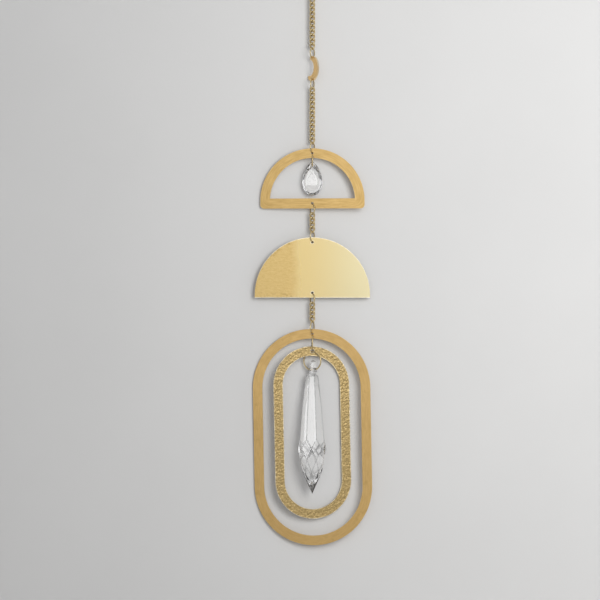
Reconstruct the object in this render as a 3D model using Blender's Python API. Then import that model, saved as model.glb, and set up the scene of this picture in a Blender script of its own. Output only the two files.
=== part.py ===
"""A hanging suncatcher: flat brass shapes and two clear cut crystals on a fine curb chain.

Metres, +Z up. The origin is where the hook bears, inside the top of the hanging ring.
X runs to the right and Y runs back, towards the wall that the string hangs against.
Everything is hung from the top down: each piece takes its height from the one above it.
"""
import math

import bmesh
import bpy
import numpy as np

# Fits
TOUCH = 0.0003
SLANT_ROOM = 0.0006

# Wire rings
HANGING_RING = 0.0150
HANGING_WIRE = 0.0015
RING = 0.0074
RING_WIRE = 0.0008
DROP_RING = 0.0085
OVAL_RING_HEIGHT = 0.0088
OVAL_RING_WIDTH = 0.0066
OVAL_RING_PEAR = 0.16
LINK_RING = 0.0104
PRISM_RING = 0.0126
PRISM_RING_WIRE = 0.0009
RING_SEGMENTS = 16
WIRE_SIDES = 6

# Curb chain
CHAIN_WIRE = 0.0008
CHAIN_PITCH = 0.0029
CHAIN_WIDTH = 0.0035
CHAIN_TWIST = 0.53
CHAIN_SEGMENTS = 12
CHAIN_SIDES = 5
LINKS_TOP = 14
LINKS_UPPER = 12
LINKS_MIDDLE = 4
LINKS_LOWER = 4

# Holes, each sized by the wires that pass through it
PLATE_HOLE = 2 * RING_WIRE + 3 * TOUCH
MOON_HOLE = RING_WIRE + 3 * TOUCH
INNER_HOLE = RING_WIRE + PRISM_RING_WIRE + 3 * TOUCH + SLANT_ROOM
DROP_HOLE = RING_WIRE + 4 * TOUCH
PRISM_HOLE = PRISM_RING_WIRE + 4 * TOUCH + SLANT_ROOM
HOLE_SEGMENTS = 16

# Brass sheet
SHEET = 0.0009
MOON_RADIUS = 0.0080
MOON_THICK = 0.0056
MOON_BITE = 0.0033
MOON_TIP = 0.0007
MOON_ROLL = math.radians(-8)
FRAME_RADIUS = 0.0335
FRAME_BAND = 0.0062
FRAME_SILL = 0.0065
FRAME_DROP = 0.0050
FRAME_CORNER = 0.0025
HALF_RADIUS = 0.0369
HALF_DROP = 0.0017
OUTER_WIDTH = 0.0756
OUTER_HEIGHT = 0.1384
OUTER_BAND = 0.0062
INNER_WIDTH = 0.0492
INNER_HEIGHT = 0.1102
INNER_BAND = 0.0060
RIM_TO_HOLE = 0.0031
MOON_RIM_TO_HOLE = 0.0014
OUTER_HOLE_ASIDE = 0.0012
INNER_HOLE_ASIDE = 0.0011
ARC_STEP = math.radians(6)

# Cut teardrop; the shares are of the outline at the girdle, and of half the depth
DROP_HEIGHT = 0.0220
DROP_WIDTH = 0.0131
DROP_DEPTH = 0.0060
DROP_GIRDLE = 0.0006
DROP_RIM_TO_HOLE = 0.0029
DROP_FACETS = 14
DROP_TABLE = 0.62
DROP_STEP = 0.80
DROP_STEP_DEPTH = 0.48
DROP_BELLY = 0.14
TEARDROP_WIDEST = 0.861

# Cut prism; each row has its share of the body's height and of its widest size
PRISM_BODY = 0.0750
PRISM_WIDTH = 0.0182
PRISM_NECK_WIDTH = 0.0084
PRISM_SHOULDER = 0.0040
PRISM_TAB_ABOVE_HOLE = 0.0059
PRISM_TAB_THICK = 0.0042
PRISM_TAB_WIDTH = 0.0062
PRISM_TAB_TOP = (1.0, 0.55, 0.60)
PRISM_TAB_CORNER = 0.73
PRISM_TAB_FOOT = 0.20
PRISM_FLARE = (0.62, 1.12, 1.04)
PRISM_LONG_ROWS = ((0.16, 0.54), (0.33, 0.69), (0.526, 0.92))
PRISM_LOZENGE_ROWS = ((0.613, 1.0), (0.715, 0.86), (0.808, 0.68), (0.890, 0.43))
PRISM_SIDES = 8
RIDGE_OFFSET = math.radians(22.5)
DRILL_SIDES = 12
DRILL_LENGTH = 3.0

# How each piece has turned about the vertical as it hangs; plus turns its right side back
RING_TURN = math.radians(66)
MOON_RING_TURN = math.radians(70)
EDGE_ON = math.radians(90)
MOON_TURN = math.radians(-61)
FRAME_TURN = math.radians(-5)
OUTER_TURN = math.radians(-6)
INNER_TURN = math.radians(10)
PRISM_RING_TURN = math.radians(-23)
PRISM_TURN = math.radians(-11.5)
PRISM_LEAN_SIDE = math.radians(0.7)
PRISM_LEAN_FORWARD = math.radians(5)
PRISM_SLIDE = math.radians(5)


def clear_scene():
    """Remove whatever the file holds."""
    for obj in list(bpy.data.objects):
        bpy.data.objects.remove(obj, do_unlink=True)


def finish(name, colour, roughness, metallic, transmission=0.0):
    """A Principled material with one colour."""
    material = bpy.data.materials.new(name)
    material.use_nodes = True
    shader = material.node_tree.nodes["Principled BSDF"]
    shader.inputs["Base Color"].default_value = (*colour, 1.0)
    shader.inputs["Roughness"].default_value = roughness
    shader.inputs["Metallic"].default_value = metallic
    shader.inputs["Transmission Weight"].default_value = transmission
    return material


def place(name, mesh, z, turn=0.0, roll=0.0):
    """An object of this mesh on the string's line, at height z, rolled and then turned."""
    obj = bpy.data.objects.new(name, mesh)
    obj.location = (0.0, 0.0, z)
    obj.rotation_mode = "YXZ"
    obj.rotation_euler = (0.0, roll, turn)
    bpy.context.collection.objects.link(obj)
    return obj


def mesh_of(name, points, faces, material, smooth=False):
    """A mesh with its faces turned outwards."""
    mesh = bpy.data.meshes.new(name)
    mesh.from_pydata([tuple(point) for point in points], [], faces)
    built = bmesh.new()
    built.from_mesh(mesh)
    bmesh.ops.recalc_face_normals(built, faces=built.faces)
    built.to_mesh(mesh)
    built.free()
    mesh.materials.append(material)
    if smooth:
        mesh.shade_smooth()
    return mesh


def band(lower, upper):
    """Quads between two rows of point numbers of one length, closed round."""
    count = len(lower)
    return [
        (lower[i], lower[(i + 1) % count], upper[(i + 1) % count], upper[i])
        for i in range(count)
    ]


def staggered_band(lower, upper):
    """Triangles between two rows, where upper[i] stands between lower[i] and lower[i + 1]."""
    count = len(lower)
    faces = []
    for i in range(count):
        after = (i + 1) % count
        faces.append((lower[i], lower[after], upper[i]))
        faces.append((lower[after], upper[after], upper[i]))
    return faces


def wire_mesh(name, line, wire, sides, material):
    """Round wire along a closed line about its own centre: a ring of points at each line point."""
    tangent = np.roll(line, -1, axis=0) - np.roll(line, 1, axis=0)
    tangent /= np.linalg.norm(tangent, axis=1, keepdims=True)
    outward = line - (line * tangent).sum(axis=1, keepdims=True) * tangent
    outward /= np.linalg.norm(outward, axis=1, keepdims=True)
    across = np.cross(tangent, outward)
    angle = np.linspace(0.0, 2 * math.pi, sides, endpoint=False)[None, :, None]
    rounds = outward[:, None] * np.cos(angle) + across[:, None] * np.sin(angle)
    points = (line[:, None] + rounds * wire / 2).reshape(-1, 3)
    count = len(line)
    rows = [list(range(i * sides, (i + 1) * sides)) for i in range(count)]
    faces = []
    for i in range(count):
        faces += band(rows[i], rows[(i + 1) % count])
    return mesh_of(name, points, faces, material, smooth=True)


def ring_mesh(name, height, width, wire, material, pear=0.0):
    """A bent ring: an ellipse through the wire's middle, narrowed towards its top by pear."""
    angle = np.linspace(0.0, 2 * math.pi, RING_SEGMENTS, endpoint=False)
    half_width = (width - wire) / 2 * (1.0 - pear * np.sin(angle))
    line = np.stack(
        [half_width * np.cos(angle), np.zeros_like(angle), (height - wire) / 2 * np.sin(angle)],
        axis=1,
    )
    return wire_mesh(name, line, wire, WIRE_SIDES, material)


def link_mesh(name, material):
    """A curb link: an ellipse whose sides swing back and forth twice, so that links lie flat."""
    angle = np.linspace(0.0, 2 * math.pi, CHAIN_SEGMENTS, endpoint=False)
    swing = CHAIN_TWIST * (CHAIN_WIRE + TOUCH)
    line = np.stack(
        [
            (CHAIN_WIDTH - CHAIN_WIRE) / 2 * np.cos(angle),
            swing * np.sin(2 * angle),
            link_height() / 2 * np.sin(angle),
        ],
        axis=1,
    )
    return wire_mesh(name, line, CHAIN_WIRE, CHAIN_SIDES, material)


def link_height():
    """Height of a link between the middles of its wire at top and bottom."""
    return CHAIN_PITCH + CHAIN_WIRE + TOUCH


def arc(centre, radius, start, end):
    """Points of an arc in the sheet's plane, both ends included."""
    steps = max(2, math.ceil(abs(end - start) / ARC_STEP))
    angles = np.linspace(start, end, steps + 1)
    return [
        (centre[0] + radius * math.cos(angle), centre[1] + radius * math.sin(angle))
        for angle in angles
    ]


def round_hole(centre, diameter):
    """Outline of a drilled hole, its corners outside the circle so that its flats clear it."""
    radius = diameter / 2 / math.cos(math.pi / HOLE_SEGMENTS)
    angles = np.linspace(0.0, 2 * math.pi, HOLE_SEGMENTS, endpoint=False)
    return [
        (centre[0] + radius * math.cos(angle), centre[1] + radius * math.sin(angle))
        for angle in angles
    ]


def sheet_mesh(name, outlines, material):
    """Sheet metal: an outline and its openings, filled and given the sheet's thickness."""
    built = bmesh.new()
    for outline in outlines:
        corners = [built.verts.new((x, -SHEET / 2, z)) for x, z in outline]
        for i, corner in enumerate(corners):
            built.edges.new((corner, corners[(i + 1) % len(corners)]))
    bmesh.ops.triangle_fill(built, use_beauty=True, edges=built.edges[:])
    front = built.faces[:]
    grown = bmesh.ops.extrude_face_region(built, geom=front, use_keep_orig=True)
    back = [item for item in grown["geom"] if isinstance(item, bmesh.types.BMVert)]
    bmesh.ops.translate(built, verts=back, vec=(0.0, SHEET, 0.0))
    bmesh.ops.recalc_face_normals(built, faces=built.faces)
    mesh = bpy.data.meshes.new(name)
    built.to_mesh(mesh)
    built.free()
    mesh.materials.append(material)
    return mesh


def moved(outline, x, z):
    """The same outline, moved in the sheet's plane."""
    return [(px + x, pz + z) for px, pz in outline]


def capsule(width, height):
    """A band's outline with straight sides and round ends, about its own centre."""
    radius = width / 2
    straight = height / 2 - radius
    over = arc((0.0, straight), radius, 0.0, math.pi)
    under = arc((0.0, -straight), radius, math.pi, 2 * math.pi)
    return over + under


def crescent_mesh(material):
    """A crescent: a disc less a smaller disc moved aside, with a hole near each horn."""
    bite_radius = MOON_RADIUS + MOON_BITE - MOON_THICK
    reach = bite_radius**2 - MOON_RADIUS**2 - MOON_BITE**2
    horn = math.acos(reach / (2 * MOON_BITE * MOON_RADIUS))
    inner_horn = math.atan2(
        MOON_RADIUS * math.sin(horn), MOON_RADIUS * math.cos(horn) + MOON_BITE
    )
    outer_end = horn - MOON_TIP / MOON_RADIUS
    inner_end = inner_horn - MOON_TIP / bite_radius
    outer = arc((0.0, 0.0), MOON_RADIUS, -outer_end, outer_end)
    inner = arc((-MOON_BITE, 0.0), bite_radius, inner_end, -inner_end)
    cos_roll = math.cos(MOON_ROLL)
    sin_roll = math.sin(MOON_ROLL)
    outline = [(x * cos_roll - z * sin_roll, x * sin_roll + z * cos_roll) for x, z in outer + inner]
    upper = MOON_RADIUS - MOON_RIM_TO_HOLE
    outlines = [
        moved(outline, 0.0, -upper),
        round_hole((0.0, 0.0), MOON_HOLE),
        round_hole((0.0, -2 * upper), MOON_HOLE),
    ]
    return sheet_mesh("crescent_moon", outlines, material)


def frame_top_to_hole():
    """From the half-moon frame's arc centre up to its top hole, in the middle of the band."""
    return FRAME_RADIUS - FRAME_BAND / 2


def frame_mesh(material):
    """An open half-moon: a half disc with round lower corners, and a smaller one cut out."""
    right = FRAME_RADIUS - FRAME_CORNER
    low = FRAME_CORNER - FRAME_DROP
    outside = arc((0.0, 0.0), FRAME_RADIUS, 0.0, math.pi)
    outside += arc((-right, low), FRAME_CORNER, math.pi, 1.5 * math.pi)
    outside += arc((right, low), FRAME_CORNER, 1.5 * math.pi, 2 * math.pi)
    inside_radius = FRAME_RADIUS - FRAME_BAND
    lift = math.asin((FRAME_SILL - FRAME_DROP) / inside_radius)
    inside = arc((0.0, 0.0), inside_radius, lift, math.pi - lift)
    up = frame_top_to_hole()
    outlines = [
        moved(outside, 0.0, -up),
        moved(inside, 0.0, -up),
        round_hole((0.0, 0.0), PLATE_HOLE),
        round_hole((0.0, frame_lower_hole()), PLATE_HOLE),
    ]
    return sheet_mesh("half_moon_frame", outlines, material)


def frame_lower_hole():
    """Height of the frame's lower hole below its upper one, in the middle of the sill."""
    return FRAME_SILL / 2 - FRAME_DROP - frame_top_to_hole()


def half_lower_hole():
    """Height of the half-moon plate's lower hole below its upper one."""
    return 2 * RIM_TO_HOLE - HALF_RADIUS - HALF_DROP


def half_mesh(material):
    """A solid half-moon: a half disc carried straight down by a narrow strip."""
    up = HALF_RADIUS - RIM_TO_HOLE
    outside = arc((0.0, 0.0), HALF_RADIUS, 0.0, math.pi)
    outside += [(-HALF_RADIUS, -HALF_DROP), (HALF_RADIUS, -HALF_DROP)]
    outlines = [
        moved(outside, 0.0, -up),
        round_hole((0.0, 0.0), PLATE_HOLE),
        round_hole((0.0, half_lower_hole()), PLATE_HOLE),
    ]
    return sheet_mesh("half_moon_plate", outlines, material)


def oval_mesh(name, width, height, band_width, aside, hole, material):
    """A flat band cut from sheet: one capsule inside another, and a hole at the band's top."""
    up = height / 2 - band_width / 2
    outlines = [
        moved(capsule(width, height), -aside, -up),
        moved(capsule(width - 2 * band_width, height - 2 * band_width), -aside, -up),
        round_hole((0.0, 0.0), hole),
    ]
    return sheet_mesh(name, outlines, material)


def plumb_roll(aside, height, band_width):
    """Roll at which an oval hangs when its hole is drilled aside of its middle."""
    return -math.atan2(aside, height / 2 - band_width / 2)


def drilled(obj, name, diameter, thickness, along_x):
    """Cut a round hole through the object's own origin."""
    radius = diameter / 2 / math.cos(math.pi / DRILL_SIDES)
    length = DRILL_LENGTH * thickness
    bpy.ops.mesh.primitive_cylinder_add(vertices=DRILL_SIDES, radius=radius, depth=length)
    drill = bpy.context.active_object
    drill.name = name
    turn = (0.0, math.pi / 2, 0.0) if along_x else (math.pi / 2, 0.0, 0.0)
    drill.rotation_euler = turn
    drill.parent = obj
    drill.hide_render = True
    drill.display_type = "WIRE"
    cut = obj.modifiers.new("hole", "BOOLEAN")
    cut.operation = "DIFFERENCE"
    cut.object = drill


def drop_mesh(material):
    """A cut teardrop: its outline at the girdle, and two smaller ones to each flat face.

    The outline is height * cos(a) / 2 up and width * sin(a) * sqrt(sin(a / 2)) across, from
    the point at a = 0. Each smaller outline stands half a facet round from the one before.
    """
    step = 2 * math.pi / DROP_FACETS
    middle = -DROP_HEIGHT / 2 + DROP_RIM_TO_HOLE
    belly = middle - DROP_BELLY * DROP_HEIGHT
    step_y = DROP_STEP_DEPTH * DROP_DEPTH / 2
    layers = [
        (DROP_TABLE, -DROP_DEPTH / 2, 1.0),
        (DROP_STEP, -step_y, 0.5),
        (1.0, -DROP_GIRDLE / 2, 0.0),
        (1.0, DROP_GIRDLE / 2, 0.0),
        (DROP_STEP, step_y, 0.5),
        (DROP_TABLE, DROP_DEPTH / 2, 1.0),
    ]
    points = []
    for scale, y, offset in layers:
        for i in range(DROP_FACETS):
            angle = (i + offset) * step
            half = abs(math.sin(angle / 2))
            x = DROP_WIDTH / 2 / TEARDROP_WIDEST * math.sin(angle) * math.sqrt(half)
            z = middle + DROP_HEIGHT / 2 * math.cos(angle)
            points.append((x * scale, y, belly + (z - belly) * scale))
    rows = [list(range(i * DROP_FACETS, (i + 1) * DROP_FACETS)) for i in range(len(layers))]
    faces = [tuple(rows[0]), tuple(rows[-1])]
    faces += staggered_band(rows[1], rows[0])
    faces += staggered_band(rows[2], rows[1])
    faces += band(rows[2], rows[3])
    faces += staggered_band(rows[3], rows[4])
    faces += staggered_band(rows[4], rows[5])
    return mesh_of("crystal_drop", points, faces, material)


def prism_mesh(material):
    """An icicle prism: a flat drilled tab, long facets that widen, then rows of lozenges.

    Every row is an octagon, half_x along the hole and half_y across it. From the widest part
    down, each row stands half a facet round from the one before, which makes the lozenges.
    """
    flat = math.cos(RIDGE_OFFSET)
    neck = PRISM_NECK_WIDTH / 2 * flat
    wide = PRISM_WIDTH / 2 * flat
    tab_x = PRISM_TAB_THICK / 2
    tab_y = PRISM_TAB_WIDTH / 2
    body_top = -PRISM_SHOULDER
    top_share, top_x, top_y = PRISM_TAB_TOP
    flare_share, flare_x, flare_y = PRISM_FLARE
    straight = [
        (top_share * PRISM_TAB_ABOVE_HOLE, top_x * tab_x, top_y * tab_y),
        (PRISM_TAB_CORNER * PRISM_TAB_ABOVE_HOLE, tab_x, tab_y),
        (PRISM_TAB_FOOT * body_top, tab_x, tab_y),
        (flare_share * body_top, flare_x * tab_x, flare_y * tab_y),
        (body_top, neck, neck),
    ]
    for share, size in PRISM_LONG_ROWS:
        straight.append((body_top - share * PRISM_BODY, size * wide, size * wide))
    rows = []
    points = []
    for z, half_x, half_y in straight:
        rows.append(octagon(points, z, half_x / flat, half_y / flat, RIDGE_OFFSET))
    for i, (share, size) in enumerate(PRISM_LOZENGE_ROWS):
        offset = RIDGE_OFFSET * (2 + i)
        z = body_top - share * PRISM_BODY
        rows.append(octagon(points, z, size * wide / flat, size * wide / flat, offset))
    faces = [tuple(rows[0])]
    for upper, lower in zip(rows[: len(straight) - 1], rows[1 : len(straight)]):
        faces += band(lower, upper)
    for upper, lower in zip(rows[len(straight) - 1 : -1], rows[len(straight) :]):
        faces += staggered_band(upper, lower)
    points.append((0.0, 0.0, body_top - PRISM_BODY))
    tip = len(points) - 1
    last = rows[-1]
    faces += [(last[i], last[(i + 1) % PRISM_SIDES], tip) for i in range(PRISM_SIDES)]
    return mesh_of("crystal_prism", points, faces, material)


def octagon(points, z, reach_x, reach_y, offset):
    """Add one row of the prism's points, and give back their numbers."""
    first = len(points)
    for i in range(PRISM_SIDES):
        angle = offset + 2 * math.pi * i / PRISM_SIDES
        points.append((reach_x * math.cos(angle), reach_y * math.sin(angle), z))
    return list(range(first, first + PRISM_SIDES))


def hung_in_loop(bottom, wire_above, wire):
    """Middle of a loop's top wire, where it hangs in the loop above."""
    return bottom + (wire_above + wire) / 2 + TOUCH


def hung_on_wire(bottom, wire, hole, rise=0.0):
    """Middle of a hole that hangs on the wire above; rise is how far the wire bends up in it."""
    return bottom + wire / 2 + TOUCH + rise - hole / 2


def resting_in_hole(hole_height, hole, wire, room=0.0):
    """Middle of a loop's top wire, where it rests on the lower edge of a hole."""
    return hole_height - hole / 2 + wire / 2 + TOUCH + room


def bend_rise(ring_height, wire, thickness):
    """How far a ring's wire bends up within half the thickness of the piece it passes through."""
    radius = (ring_height - wire) / 2
    return radius - math.sqrt(radius**2 - (thickness / 2) ** 2)


def add_loop(name, mesh, top, height, wire, turn=0.0):
    """Place a ring by the middle of its top wire, and give back the middle of its bottom wire."""
    span = height - wire
    place(name, mesh, top - span / 2, turn)
    return top - span


def add_chain(name, mesh, count, bottom, wire_above):
    """A run of links hung one in the next, below a loop; gives back its lowest wire middle."""
    top = hung_in_loop(bottom, wire_above, CHAIN_WIRE)
    for i in range(count):
        centre = top - i * CHAIN_PITCH - link_height() / 2
        place(f"{name}_{i + 1:02d}", mesh, centre)
    return top - (count - 1) * CHAIN_PITCH - link_height()


def build_top(brass, satin, link, ring):
    """Hanging ring, first chain and crescent; gives back the lower hole's height."""
    big_ring = ring_mesh("hanging_ring", HANGING_RING, HANGING_RING, HANGING_WIRE, brass)
    low = add_loop("hanging_ring", big_ring, HANGING_WIRE / 2, HANGING_RING, HANGING_WIRE)
    top = hung_in_loop(low, HANGING_WIRE, RING_WIRE)
    low = add_loop("top_ring", ring, top, RING, RING_WIRE, -RING_TURN)
    low = add_chain("chain_top", link, LINKS_TOP, low, RING_WIRE)
    top = hung_in_loop(low, CHAIN_WIRE, RING_WIRE)
    low = add_loop("moon_upper_ring", ring, top, RING, RING_WIRE, RING_TURN)
    hole = hung_on_wire(low, RING_WIRE, MOON_HOLE)
    place("crescent_moon", crescent_mesh(satin), hole, MOON_TURN)
    return hole - 2 * (MOON_RADIUS - MOON_RIM_TO_HOLE)


def build_frame(brass, satin, crystal, link, ring, hole):
    """Second chain, half-moon frame and the drop in it; gives back the frame's lower hole."""
    top = resting_in_hole(hole, MOON_HOLE, RING_WIRE)
    low = add_loop("moon_lower_ring", ring, top, RING, RING_WIRE, MOON_RING_TURN)
    low = add_chain("chain_upper", link, LINKS_UPPER, low, RING_WIRE)
    top = hung_in_loop(low, CHAIN_WIRE, RING_WIRE)
    low = add_loop("frame_upper_ring", ring, top, RING, RING_WIRE, RING_TURN)
    hole = hung_on_wire(low, RING_WIRE, PLATE_HOLE)
    place("half_moon_frame", frame_mesh(satin), hole, FRAME_TURN)
    top = resting_in_hole(hole, PLATE_HOLE, RING_WIRE)
    long_ring = ring_mesh("drop_ring", DROP_RING, DROP_RING, RING_WIRE, brass)
    low = add_loop("drop_ring", long_ring, top, DROP_RING, RING_WIRE, EDGE_ON)
    rise = bend_rise(DROP_RING, RING_WIRE, DROP_DEPTH / 2)
    drop = place("crystal_drop", drop_mesh(crystal), hung_on_wire(low, RING_WIRE, DROP_HOLE, rise))
    drilled(drop, "drop_drill", DROP_HOLE, DROP_DEPTH, along_x=False)
    return hole + frame_lower_hole()


def build_half_moon(satin, link, ring, hole):
    """Short chain and solid half-moon; gives back the height of the plate's lower hole."""
    top = resting_in_hole(hole, PLATE_HOLE, RING_WIRE)
    low = add_loop("frame_lower_ring", ring, top, RING, RING_WIRE, -RING_TURN)
    low = add_chain("chain_middle", link, LINKS_MIDDLE, low, RING_WIRE)
    top = hung_in_loop(low, CHAIN_WIRE, RING_WIRE)
    low = add_loop("half_moon_upper_ring", ring, top, RING, RING_WIRE, RING_TURN)
    hole = hung_on_wire(low, RING_WIRE, PLATE_HOLE)
    place("half_moon_plate", half_mesh(satin), hole)
    return hole + half_lower_hole()


def build_ovals(brass, satin, hammered, link, ring, hole):
    """Short chain and the two ovals; gives back the height of the inner oval's hole."""
    top = resting_in_hole(hole, PLATE_HOLE, RING_WIRE)
    low = add_loop("half_moon_lower_ring", ring, top, RING, RING_WIRE, -RING_TURN)
    low = add_chain("chain_lower", link, LINKS_LOWER, low, RING_WIRE)
    top = hung_in_loop(low, CHAIN_WIRE, RING_WIRE)
    pear = ring_mesh(
        "oval_upper_ring", OVAL_RING_HEIGHT, OVAL_RING_WIDTH, RING_WIRE, brass, OVAL_RING_PEAR
    )
    low = add_loop("oval_upper_ring", pear, top, OVAL_RING_HEIGHT, RING_WIRE, RING_TURN)
    hole = hung_on_wire(low, RING_WIRE, PLATE_HOLE)
    outer = oval_mesh(
        "outer_oval", OUTER_WIDTH, OUTER_HEIGHT, OUTER_BAND, OUTER_HOLE_ASIDE, PLATE_HOLE, satin
    )
    roll = plumb_roll(OUTER_HOLE_ASIDE, OUTER_HEIGHT, OUTER_BAND)
    place("outer_oval", outer, hole, OUTER_TURN, roll)
    top = resting_in_hole(hole, PLATE_HOLE, RING_WIRE)
    joiner = ring_mesh("oval_link_ring", LINK_RING, LINK_RING, RING_WIRE, brass)
    low = add_loop("oval_link_ring", joiner, top, LINK_RING, RING_WIRE, EDGE_ON)
    hole = hung_on_wire(low, RING_WIRE, INNER_HOLE)
    inner = oval_mesh(
        "inner_oval", INNER_WIDTH, INNER_HEIGHT, INNER_BAND, INNER_HOLE_ASIDE, INNER_HOLE, hammered
    )
    roll = plumb_roll(INNER_HOLE_ASIDE, INNER_HEIGHT, INNER_BAND)
    place("inner_oval", inner, hole, INNER_TURN, roll)
    return hole


def build_prism(brass, crystal, hole):
    """The last ring, and the icicle prism slid a little to the right along it."""
    top = resting_in_hole(hole, INNER_HOLE, PRISM_RING_WIRE, SLANT_ROOM / 2)
    large = ring_mesh("prism_ring", PRISM_RING, PRISM_RING, PRISM_RING_WIRE, brass)
    low = add_loop("prism_ring", large, top, PRISM_RING, PRISM_RING_WIRE, PRISM_RING_TURN)
    radius = (PRISM_RING - PRISM_RING_WIRE) / 2
    low += radius * (1 - math.cos(PRISM_SLIDE))
    aside = radius * math.sin(PRISM_SLIDE)
    rise = bend_rise(PRISM_RING, PRISM_RING_WIRE, PRISM_TAB_THICK)
    height = hung_on_wire(low, PRISM_RING_WIRE, PRISM_HOLE, rise + SLANT_ROOM / 2)
    lean = bpy.data.objects.new("prism_lean", None)
    lean.location = (
        aside * math.cos(PRISM_RING_TURN),
        aside * math.sin(PRISM_RING_TURN),
        height,
    )
    lean.rotation_euler = (-PRISM_LEAN_FORWARD, PRISM_LEAN_SIDE, 0.0)
    bpy.context.collection.objects.link(lean)
    prism = place("crystal_prism", prism_mesh(crystal), 0.0, PRISM_TURN)
    prism.parent = lean
    drilled(prism, "prism_drill", PRISM_HOLE, PRISM_TAB_THICK, along_x=True)


def build():
    """Hang every piece, from the top down."""
    clear_scene()
    brass = finish("chain_brass", (0.46, 0.36, 0.18), 0.32, 1.0)
    satin = finish("satin_brass", (0.72, 0.53, 0.25), 0.38, 1.0)
    polished = finish("polished_brass", (0.80, 0.64, 0.34), 0.26, 1.0)
    hammered = finish("hammered_brass", (0.68, 0.48, 0.20), 0.34, 1.0)
    crystal = finish("crystal", (0.96, 0.97, 0.98), 0.02, 0.0, transmission=1.0)
    link = link_mesh("chain_link", brass)
    ring = ring_mesh("jump_ring", RING, RING, RING_WIRE, brass)
    hole = build_top(brass, satin, link, ring)
    hole = build_frame(brass, satin, crystal, link, ring, hole)
    hole = build_half_moon(polished, link, ring, hole)
    hole = build_ovals(brass, satin, hammered, link, ring, hole)
    build_prism(brass, crystal, hole)


build()
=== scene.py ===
import math

import bmesh
import bpy
import numpy as np
from mathutils import Matrix, Vector


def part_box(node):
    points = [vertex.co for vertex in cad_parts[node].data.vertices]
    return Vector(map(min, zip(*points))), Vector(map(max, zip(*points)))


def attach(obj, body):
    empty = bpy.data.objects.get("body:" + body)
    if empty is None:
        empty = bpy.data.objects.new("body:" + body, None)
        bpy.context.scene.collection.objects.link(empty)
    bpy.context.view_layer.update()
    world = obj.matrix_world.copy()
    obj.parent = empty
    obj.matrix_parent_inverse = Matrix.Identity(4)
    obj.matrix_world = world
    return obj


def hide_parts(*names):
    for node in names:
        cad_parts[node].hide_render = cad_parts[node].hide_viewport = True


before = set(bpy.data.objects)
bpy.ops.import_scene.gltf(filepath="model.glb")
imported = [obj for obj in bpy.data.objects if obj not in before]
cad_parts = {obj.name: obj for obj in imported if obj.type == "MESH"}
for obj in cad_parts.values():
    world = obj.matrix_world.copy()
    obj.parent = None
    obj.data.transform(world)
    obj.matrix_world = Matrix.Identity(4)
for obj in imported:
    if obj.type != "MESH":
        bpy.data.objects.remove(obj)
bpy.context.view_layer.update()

# Camera: straight on and far back, on a long lens. The view is 384 mm across where the
# ornament hangs, and its middle lies a little to the left of the chain.
VIEW_WIDTH = 0.384
VIEW_ASIDE = -0.0079
VIEW_BELOW_PLATE_TOP = 0.0401
CAMERA_BACK = 1.5
camera_data = bpy.data.cameras.new("camera")
camera_data.sensor_width = 36.0
camera_data.lens = camera_data.sensor_width * CAMERA_BACK / VIEW_WIDTH
camera = bpy.data.objects.new("camera", camera_data)
view_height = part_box("half_moon_plate")[1][2] - VIEW_BELOW_PLATE_TOP
camera.location = (VIEW_ASIDE, -CAMERA_BACK, view_height)
camera.rotation_euler = (math.pi / 2, 0.0, 0.0)
bpy.context.scene.collection.objects.link(camera)
bpy.context.scene.camera = camera
bpy.context.scene.view_settings.view_transform = "Standard"

# Room: a painted wall 5.3 mm behind the chain's line, seen through from its back so that the
# ornament can be looked at from there, and a plain pale floor below.
WALL_BEHIND = 0.0053
WALL_HALF_WIDTH = 1.6
WALL_TOP = 1.2
FLOOR_BELOW = -0.48
FLOOR_FORWARD = 2.6
WALL_COLOUR = (0.64, 0.637, 0.63)
WALL_CLOUD = 0.012
FLOOR_COLOUR = (0.64, 0.635, 0.625)
FLOOR_CLOUD = 0.015
PAINT_ROUGHNESS = 0.85
SAME_PLACE = 1e-6


def surface(name, grids, charts=None):
    """A mesh from grids of points, each numbered by row and column.

    Every square of four neighbouring points is a face, whose outside is that of rows crossed with
    columns. A chart holds a pair of numbers for each point of each grid and is kept as a UV map.
    Points that fall on each other, as at a pole or a seam, are made one.
    """
    faces = []
    start = 0
    for grid in grids:
        rows, columns = grid.shape[:2]
        number = start + np.arange(rows * columns).reshape(rows, columns)
        corners = [number[:-1, :-1], number[1:, :-1], number[1:, 1:], number[:-1, 1:]]
        faces.append(np.stack(corners, axis=-1).reshape(-1, 4))
        start += rows * columns
    faces = np.concatenate(faces)
    mesh = bpy.data.meshes.new(name)
    mesh.from_pydata(np.concatenate([grid.reshape(-1, 3) for grid in grids]), [], faces)
    for chart, pairs in (charts or {}).items():
        pairs = np.concatenate([pair.reshape(-1, 2) for pair in pairs]).astype(np.float32)
        mesh.uv_layers.new(name=chart).data.foreach_set("uv", pairs[faces.ravel()].ravel())
    built = bmesh.new()
    built.from_mesh(mesh)
    bmesh.ops.remove_doubles(built, verts=built.verts, dist=SAME_PLACE)
    built.to_mesh(mesh)
    built.free()
    return mesh


def shown(name, mesh, material):
    """An object at the origin with this mesh and material."""
    mesh.materials.append(material)
    obj = bpy.data.objects.new(name, mesh)
    bpy.context.scene.collection.objects.link(obj)
    return obj


def add(tree, kind, inputs=None, **settings):
    """A node, whose sockets take numbers or are joined to other nodes' sockets."""
    node = tree.nodes.new(kind)
    for setting, value in settings.items():
        setattr(node, setting, value)
    for socket, value in (inputs or {}).items():
        if isinstance(value, bpy.types.NodeSocket):
            tree.links.new(value, node.inputs[socket])
        else:
            node.inputs[socket].default_value = value
    return node


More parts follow.
